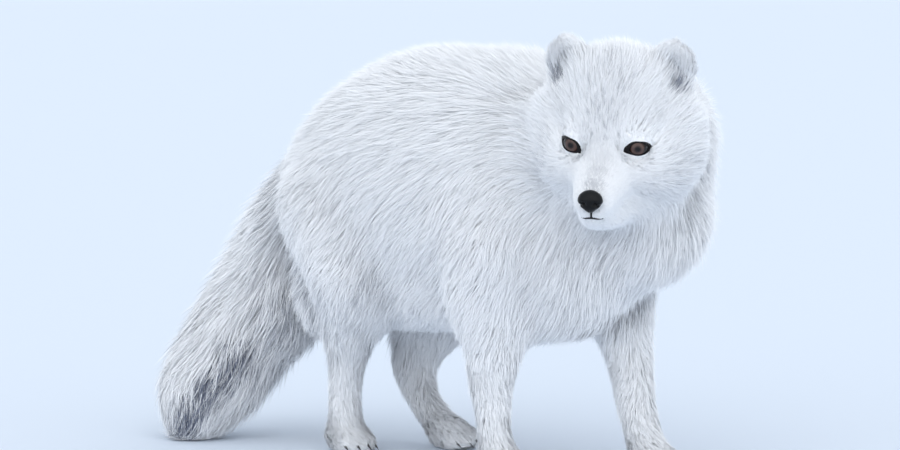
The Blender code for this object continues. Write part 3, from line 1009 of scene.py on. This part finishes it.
def nearestTail(points):
    # the way along the tail at its nearest place, and the way out from there
    run = np.array(tailRun)
    best = np.full(len(points), 1e9)
    along = np.zeros_like(points)
    out = np.zeros_like(points)
    for a, b in zip(run[:-1], run[1:]):
        part = np.clip(((points - a) @ (b - a)) / ((b - a) @ (b - a)), 0, 1)
        spot = a + part[:, None] * (b - a)
        away = lengths(points - spot)
        closer = away < best
        best = np.where(closer, away, best)
        along[closer] = (b - a) / np.linalg.norm(b - a)
        out[closer] = (points - spot)[closer]
    return along, unit(out)


def flattened(field):
    # laid along the surface
    return unit(field - tipNormals * np.sum(field * tipNormals, axis=1, keepdims=True))


def lieOfFace():
    # back from the nose, round the eyes, down at the chin and up the ears
    lie = unit(local - noseAt)
    lie += np.outer(np.interp(local[:, 2], *lieBy["chin"]), [0, 0, -1])
    outward, forward = lieBy["eyeSpot"]
    for side in (1, -1):
        gap = local - np.array([side * (eyeSpan + outward), forward, 0])
        near = np.interp(lengths(gap), *lieBy["roundEye"])
        lie += unit(gap) * near[:, None]
    onEar = isPart("ear_")
    count = len(local)
    up = np.stack([lieBy["earOut"] * np.sign(local[:, 0]), np.zeros(count), np.ones(count)], axis=1)
    lie[onEar] = up[onEar]
    return lie @ np.array(head.to_3x3()).T, onHead | onEar


def lieOfCoat():
    count = len(tips)
    fall = np.interp(tips[:, 2], *lieBy["fall"])
    lie = np.stack([np.zeros(count), np.ones(count), -fall], axis=1)
    lie[isPart("upper_leg")] = unit(np.array(lieBy["thigh"]))
    toToes = np.interp(tips[:, 2], *lieBy["toeHeight"])[:, None]
    ahead = np.array(lieBy["shin"]) * (1 - toToes) + np.array(lieBy["toes"]) * toToes
    onShin = isPart("paw") | isPart("lower_leg")
    lie[onShin] = ahead[onShin]
    along, out = nearestTail(tips)
    onTail = isPart("tail")
    lie[onTail] = (along + lieBy["tailOut"] * out + np.array([0, 0, lieBy["tailDown"]]))[onTail]
    onFace, facing = lieOfFace()
    lie[facing] = onFace[facing]
    lie = flattened(evened(flattened(lie), links, 10))
    sway = sum(amount * wave(tips, scale, turn) for amount, scale, turn in lieBy["sways"])
    sway *= np.interp(fromNose, *lieBy["swayByNose"])
    across = np.cross(tipNormals, lie)
    return lie * np.cos(sway)[:, None] + across * np.sin(sway)[:, None]


lie = lieOfCoat()
hairLength, bladeWidth = byNode("length"), byNode("width")
density, gather, proud = byNode("density"), byNode("gather"), byNode("proud")

hairBy = {  # hair where it changes along a part, by distance or height
    "throatHeight": ([-0.060, -0.036], [1.0, 0.0]),
    "throatNose": ([0.025, 0.060], [0.0, 1.0]),
    "throatLonger": 0.9,
    "throatProud": 0.004,
    "noseLength": ([0.008, 0.030, 0.055, 0.080, 0.105, 0.150],
                   [0.0030, 0.0050, 0.0090, 0.0140, 0.0230, 0.0320]),
    "noseWidth": ([0.01, 0.06, 0.12], [0.00032, 0.00040, 0.00062]),
    "noseDensity": ([0.01, 0.05, 0.09, 0.14], [9.0, 6.0, 3.4, 2.0]),
    "noseProud": ([0.05, 0.09, 0.13], [0.0003, 0.0020, 0.0070]),
    "noseStiff": ([0.02, 0.05], [0.0, 1.0]),
    "eyeLength": ([0.010, 0.014, 0.028], [0.0030, 0.0045, 0.05]),
    "eyeCalm": ([0.013, 0.026], [0.0, 1.0]),
    "mouthLength": ([0.002, 0.009], [0.35, 1.0]),
    "rump": (-0.020, 0.140, 0.165),
    "rumpLonger": ([0.05, 0.11], [1.7, 1.0]),
    "rumpProud": ([0.05, 0.10], [0.008, 0.0]),
    "legLength": ([0.0, 0.03, 0.095, 0.15], [0.0085, 0.0130, 0.0180, 0.0290]),
    "stiff": 0.45,
}


def mouthDistance():
    # to the line of the lips
    nearest = np.full(len(tips), 1.0)
    for side in (1, -1):
        run = np.array(mouth["run"]) * np.array([side, 1, 1])
        for a, b in zip(run[:-1], run[1:]):
            for part in (0.0, 0.5):
                gap = (local - (a + (b - a) * part)) * np.array([1, 0.5, 1])
                nearest = np.minimum(nearest, lengths(gap))
    return nearest


fromMouth = mouthDistance()


def settleHair():
    throat = np.interp(local[:, 2], *hairBy["throatHeight"])
    throat *= np.interp(fromNose, *hairBy["throatNose"])
    reach = np.interp(fromNose, *hairBy["noseLength"])
    reach *= 1 + hairBy["throatLonger"] * throat
    reach = np.minimum(reach, np.interp(fromEye, *hairBy["eyeLength"]))
    hairLength[onHead] = reach[onHead]
    bladeWidth[onHead] = np.interp(fromNose, *hairBy["noseWidth"])[onHead]
    density[onHead] = np.interp(fromNose, *hairBy["noseDensity"])[onHead]
    standing = np.interp(fromNose, *hairBy["noseProud"]) + hairBy["throatProud"] * throat
    proud[onHead] = standing[onHead]
    rump = lengths(tips - np.array(hairBy["rump"]))
    proud[:] += np.interp(rump, *hairBy["rumpProud"])
    shaggy = np.interp(rump, *hairBy["rumpLonger"])
    hairLength[:] *= np.where(onHead | isPart("tail"), 1.0, shaggy)
    hairLength[onHead] *= np.interp(fromMouth, *hairBy["mouthLength"])[onHead]
    hairLength[onLeg] = np.interp(tips[:, 2], *hairBy["legLength"])[onLeg]


settleHair()
hairLength, bladeWidth, density, gather, proud = [
    evened(field, links, 10) for field in (hairLength, bladeWidth, density, gather, proud)
]
calm = np.interp(fromEye, *hairBy["eyeCalm"])
proud *= calm
stiff = hairBy["stiff"] * calm * np.interp(fromNose, *hairBy["noseStiff"])

bare = {  # where no hair grows
    "rim": 1.02,  # inside the lids' outer edge
    "rimBack": 0.004,
    "ball": 0.0135,  # round each ball, behind its front
    "ballFront": 0.003,
    "nose": 1.05,
    "noseDeep": 0.8,
    "mouth": 0.0014,
}


def bareAround(points):
    keep = np.ones(len(points))
    for side in (1, -1):
        at = onEye(side, points)
        rim = rimOf(side, at)
        keep[(rim < bare["rim"]) & (at[:, 1] < bare["rimBack"]) & (at[:, 1] > socket["front"])] = 0
        keep[(lengths(at) < bare["ball"]) & (at[:, 1] > bare["ballFront"])] = 0
    size = np.array([nose["wide"], nose["deep"], nose["high"]])
    atNose = (placed(headBack, points) - noseAt) / size
    keep[lengths(atNose * np.array([1, bare["noseDeep"], 1])) < bare["nose"]] = 0
    keep[fromMouth < bare["mouth"]] = 0
    return keep


def ofFaces(field):
    return field[faces].mean(axis=1)


def areaOf(points):
    a, b, c = (points[faces[:, k]] for k in range(3))
    return lengths(np.cross(b - a, c - a)) / 2


faceCentre, faceArea, faceCover = ofFaces(tips), areaOf(tips), ofFaces(cover)
faceLie, faceNormal = unit(ofFaces(lie)), unit(ofFaces(tipNormals))
facePart = {
    "length": ofFaces(hairLength),
    "width": ofFaces(bladeWidth),
    "gather": ofFaces(gather),
    "proud": ofFaces(proud),
    "stiff": ofFaces(stiff),
    "weight": ofFaces(density) * bareAround(inner)[faces].min(axis=1),
}

unwrapping = {"ratio": 0.04, "angle": 66.0, "margin": 0.003}


def unwrapSkin():
    # a light copy of the skin, unwrapped, that gives every root its place for baking
    light = linked("lightSkin", skin.data.copy())
    applyModifier(light, "DECIMATE", ratio=unwrapping["ratio"])
    angle = math.radians(unwrapping["angle"])
    editAll(light, bpy.ops.uv.smart_project, angle_limit=angle, island_margin=unwrapping["margin"])
    places = readPoints(light.data)
    corners = readFaces(light.data)
    flat = np.empty(len(light.data.loops) * 2, dtype=np.float32)
    light.data.uv_layers.active.data.foreach_get("uv", flat)
    spread = flat.reshape(-1, 3, 2)
    tree = BVHTree.FromPolygons([Vector(point) for point in places], corners.tolist())
    bpy.data.objects.remove(light)
    return places[corners], spread, tree


lightCorners, lightSpread, lightTree = unwrapSkin()
print("skin unwrapped")


def spreadPlaces(roots, where):
    # each root's place on the unwrapping, from the corners of the light face it stands on
    a, b, c = (lightCorners[where, k] for k in range(3))
    ab, ac, ap = b - a, c - a, roots - a
    d00, d01, d11 = (np.sum(x * y, axis=1) for x, y in ((ab, ab), (ab, ac), (ac, ac)))
    d20, d21 = np.sum(ap * ab, axis=1), np.sum(ap * ac, axis=1)
    bottom = np.maximum(d00 * d11 - d01 * d01, 1e-14)
    v = np.clip((d11 * d20 - d01 * d21) / bottom, -0.2, 1.2)[:, None]
    w = np.clip((d00 * d21 - d01 * d20) / bottom, -0.2, 1.2)[:, None]
    s = lightSpread[where]
    return s[:, 0] * (1 - v - w) + s[:, 1] * v + s[:, 2] * w


sowingCell = 0.007
sowingOrder = np.lexsort(np.floor(faceCentre / sowingCell).astype(int).T)  # near faces together


def sowLocks(rng, region, locks):
    weight = (facePart["weight"] * faceArea * region)[sowingOrder]
    total = np.cumsum(weight)
    steps = (np.arange(locks) + rng.random(locks)) / locks
    where = sowingOrder[np.searchsorted(total, steps * total[-1])]
    a, b = rng.random(locks), rng.random(locks)
    over = a + b > 1
    a[over], b[over] = 1 - a[over], 1 - b[over]
    share = np.stack([1 - a - b, a, b], axis=1)[:, :, None]
    outer = (tips[faces[where]] * share).sum(axis=1)
    root = (inner[faces[where]] * share).sum(axis=1)
    radius = np.sqrt(total[-1] / locks / np.maximum(facePart["weight"][where], 0.05) / math.pi)
    return where, outer, root, radius


guideRise = [0.60, 0.88, 1.0]  # how far out of the coat a lock has risen at each step


def traceLocks(where, outer, root, reach):
    # each lock's middle line rises off the skin and follows the lie of the coat, but keeps
    # some of its straight way where the body falls away
    lines, spot, at = [root], outer.copy(), where.copy()
    stiff = facePart["stiff"][where]
    for rise in guideRise:
        ahead = spot + faceLie[at] * (reach / len(guideRise))[:, None]
        for index, point in enumerate(ahead):
            hit = tipTree.find_nearest(Vector(point))
            above = max(0.0, (Vector(point) - hit[0]).dot(hit[1]))
            spot[index], at[index] = hit[0] + hit[1] * above * stiff[index], hit[2]
        lines.append(spot - faceCover[at] * (1 - rise))
    return np.stack(lines, axis=1)


def alongLine(lines, part):
    # a place part of the way along each line, carried on straight past its end
    spans = lines.shape[1] - 1
    low = np.clip(np.floor(part * spans).astype(int), 0, spans - 1)
    rest = (part * spans - low)[:, None]
    rows = np.arange(len(lines))
    return lines[rows, low] * (1 - rest) + lines[rows, low + 1] * rest


blade = {  # ranges are the least and the most of each
    "perLock": 9,
    "reach": (0.85, 1.12),
    "spread": 1.4,
    "size": (0.72, 1.08),
    "closing": (0.7, 1.15),
    "sink": 0.30,
    "drift": 0.09,
    "width": (0.7, 1.25),
    "twist": 0.28,
    "widths": [0.75, 1.0, 0.72],  # from the root outwards, as the painted root shade is
    # painted shade: each blade darker towards its root, standing in for the shade deep in the coat
    "paintedRootShade": [0.93, 0.98, 1.0],
    "lockSmokeAndShade": (0.70, 1.0),
    "ownSmokeAndShade": (0.75, 1.15),
    "evenSmokeAndShade": 0.25,
    "lockTone": (0.975, 1.0),
    "ownTone": (0.97, 1.01),
    "lowest": 0.0008,
    "bakePatch": 0.003,
}


def bladeCorners(pairs):
    # the triangles of one blade, which has so many pairs of points and then its tip
    corners = []
    for k in range(pairs - 1):
        a, b, c, d = 2 * k, 2 * k + 1, 2 * k + 3, 2 * k + 2
        corners += [(a, b, c), (a, c, d)]
    corners.append((2 * pairs - 2, 2 * pairs - 1, 2 * pairs))
    return np.array(corners)


def bladePoints(path, normal, width, twist):
    last = path.shape[1] - 1
    points = []
    for k in range(last + 1):
        ahead = unit(path[:, min(k + 1, last)] - path[:, max(k - 1, 0)])
        side = unit(np.cross(ahead, normal))
        facing = np.cross(side, ahead)
        side = side * np.cos(twist) + facing * np.sin(twist)
        if k < last:
            half = side * (width * blade["widths"][k] / 2)[:, None]
            points += [path[:, k] - half, path[:, k] + half]
        else:
            points.append(path[:, k])
    return np.stack(points, axis=1)


def bladeMesh(name, points, corners, spots):
    count, perBlade = points.shape[:2]
    triangles = (np.arange(count) * perBlade)[:, None, None] + corners[None]
    triangles = triangles.reshape(-1, 3)
    mesh = bpy.data.meshes.new(name)
    mesh.vertices.add(count * perBlade)
    mesh.vertices.foreach_set("co", points.reshape(-1).astype(np.float32))
    mesh.loops.add(len(triangles) * 3)
    mesh.loops.foreach_set("vertex_index", triangles.reshape(-1).astype(np.int32))
    mesh.polygons.add(len(triangles))
    starts = np.arange(0, len(triangles) * 3, 3, dtype=np.int32)
    mesh.polygons.foreach_set("loop_start", starts)
    mesh.update(calc_edges=True)
    mesh.shade_smooth()
    layer = mesh.uv_layers.new(name="OFBake")
    flat = spots.reshape(-1, 2)[triangles.reshape(-1)]
    layer.data.foreach_set("uv", flat.astype(np.float32).ravel())
    return mesh


winterCoat = coatMaterial()


def growCoat(name, region, blades, stops, seed):
    rng = np.random.default_rng(seed)
    locks, pairs = blades // blade["perLock"], len(stops) - 1
    where, outer, root, radius = sowLocks(rng, region, locks)
    reach = facePart["length"][where] * rng.uniform(*blade["reach"], locks)
    lines = traceLocks(where, outer, root, reach)
    spreadAt = np.array([lightTree.find_nearest(Vector(point))[2] for point in root])

    own = np.repeat(np.arange(locks), blade["perLock"])
    count = len(own)
    at = where[own]
    forward, normal = faceLie[at], faceNormal[at]
    across = np.cross(normal, forward)
    angle = rng.uniform(0, math.tau, count)
    out = np.sqrt(rng.random(count)) * radius[own] * blade["spread"]
    offset = across * (np.cos(angle) * out)[:, None] + forward * (np.sin(angle) * out)[:, None]
    size = rng.uniform(*blade["size"], count)
    closing = facePart["gather"][at] * rng.uniform(*blade["closing"], count)
    lift = lengths(faceCover[at]) * rng.uniform(-blade["sink"], 0.0, count)
    lift += facePart["proud"][at] * rng.random(count) ** 3
    drift = rng.normal(0, blade["drift"], count) * facePart["length"][at]
    width = facePart["width"][at] * rng.uniform(*blade["width"], count)

    path = []
    for stop in stops:
        spot = alongLine(lines[own], stop * size)
        spot = spot + offset * (1 - closing * stop)[:, None]
        path.append(spot + normal * (lift * stop)[:, None] + across * (drift * stop * stop)[:, None])
    twist = rng.normal(0, blade["twist"], count)[:, None]
    points = bladePoints(np.stack(path, axis=1), normal, width, twist)

    share, dark = (field[own] for field in smokeAndShadeAt(lines[:, 2]))
    lockDark = (rng.random(locks)[own] < share) * dark * rng.uniform(*blade["lockSmokeAndShade"], locks)[own]
    mixed = lockDark * rng.uniform(*blade["ownSmokeAndShade"], count) + blade["evenSmokeAndShade"] * share * dark
    mixed = np.clip(mixed, 0, 1)[:, None]
    tone = rng.uniform(*blade["lockTone"], locks)[own] * rng.uniform(*blade["ownTone"], count)
    tint = coatTint(mixed) * tone[:, None]
    rows = [k for k in range(pairs) for _ in range(2)] + [pairs]
    # painted shade: the blade's colour darkened step by step towards its root
    paintedShadeSteps = blade["paintedRootShade"][:pairs] + [1.0]
    tints = tint[:, None, :] * np.array([paintedShadeSteps[k] for k in rows])[None, :, None]

    flatPlace = spreadPlaces(root[own] + offset, spreadAt[own])
    sides = [-0.5, 0.5] * pairs + [0.0]
    shifts = [(side, k / pairs - 0.5) for side, k in zip(sides, rows)]
    spots = flatPlace[:, None, :] + np.array(shifts)[None] * blade["bakePatch"]

    points[:, :, 2] = np.maximum(points[:, :, 2], blade["lowest"])
    mesh = bladeMesh(name, points, bladeCorners(pairs), spots)
    colourMesh(mesh, tints.reshape(-1, 3))
    coat = linked(name, mesh)
    coat.data.materials.append(winterCoat)
    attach(coat, "root")
    print(name, len(mesh.polygons), "triangles")


def facesOf(*words):
    return ofFaces(sum(isPart(word) for word in words).astype(float))


muzzleReach, middleLine = 0.078, 0.006
shortHair, longHair = [0.0, 0.42, 1.0], [0.0, 0.30, 0.66, 1.0]  # where a blade has its points
muzzlePart = ofFaces((onHead & (fromNose < muzzleReach)).astype(float))
rightSide = (faceCentre[:, 0] < middleLine).astype(float)
coatPieces = [  # where each grows, its blades, their points and its seed
    ("coatFace", muzzlePart, 62000, shortHair, 11),
    ("coatCrown", facesOf("head", "ear_") - muzzlePart, 64000, shortHair, 12),
    ("coatRuff", facesOf("neck"), 56000, shortHair, 13),
    ("coatRightSide", facesOf("trunk") * rightSide, 64000, shortHair, 14),
    ("coatLeftSide", facesOf("trunk") * (1 - rightSide), 48000, shortHair, 15),
    ("coatThighs", facesOf("upper_leg"), 50000, shortHair, 16),
    ("coatLegs", facesOf("lower_leg", "paw"), 52000, shortHair, 17),
    ("coatTailRoot", facesOf("tail_root"), 30000, longHair, 18),
    ("coatTailTip", facesOf("tail_tip"), 32000, longHair, 19),
]
for piece in coatPieces:
    growCoat(*piece)
print("coat grown")
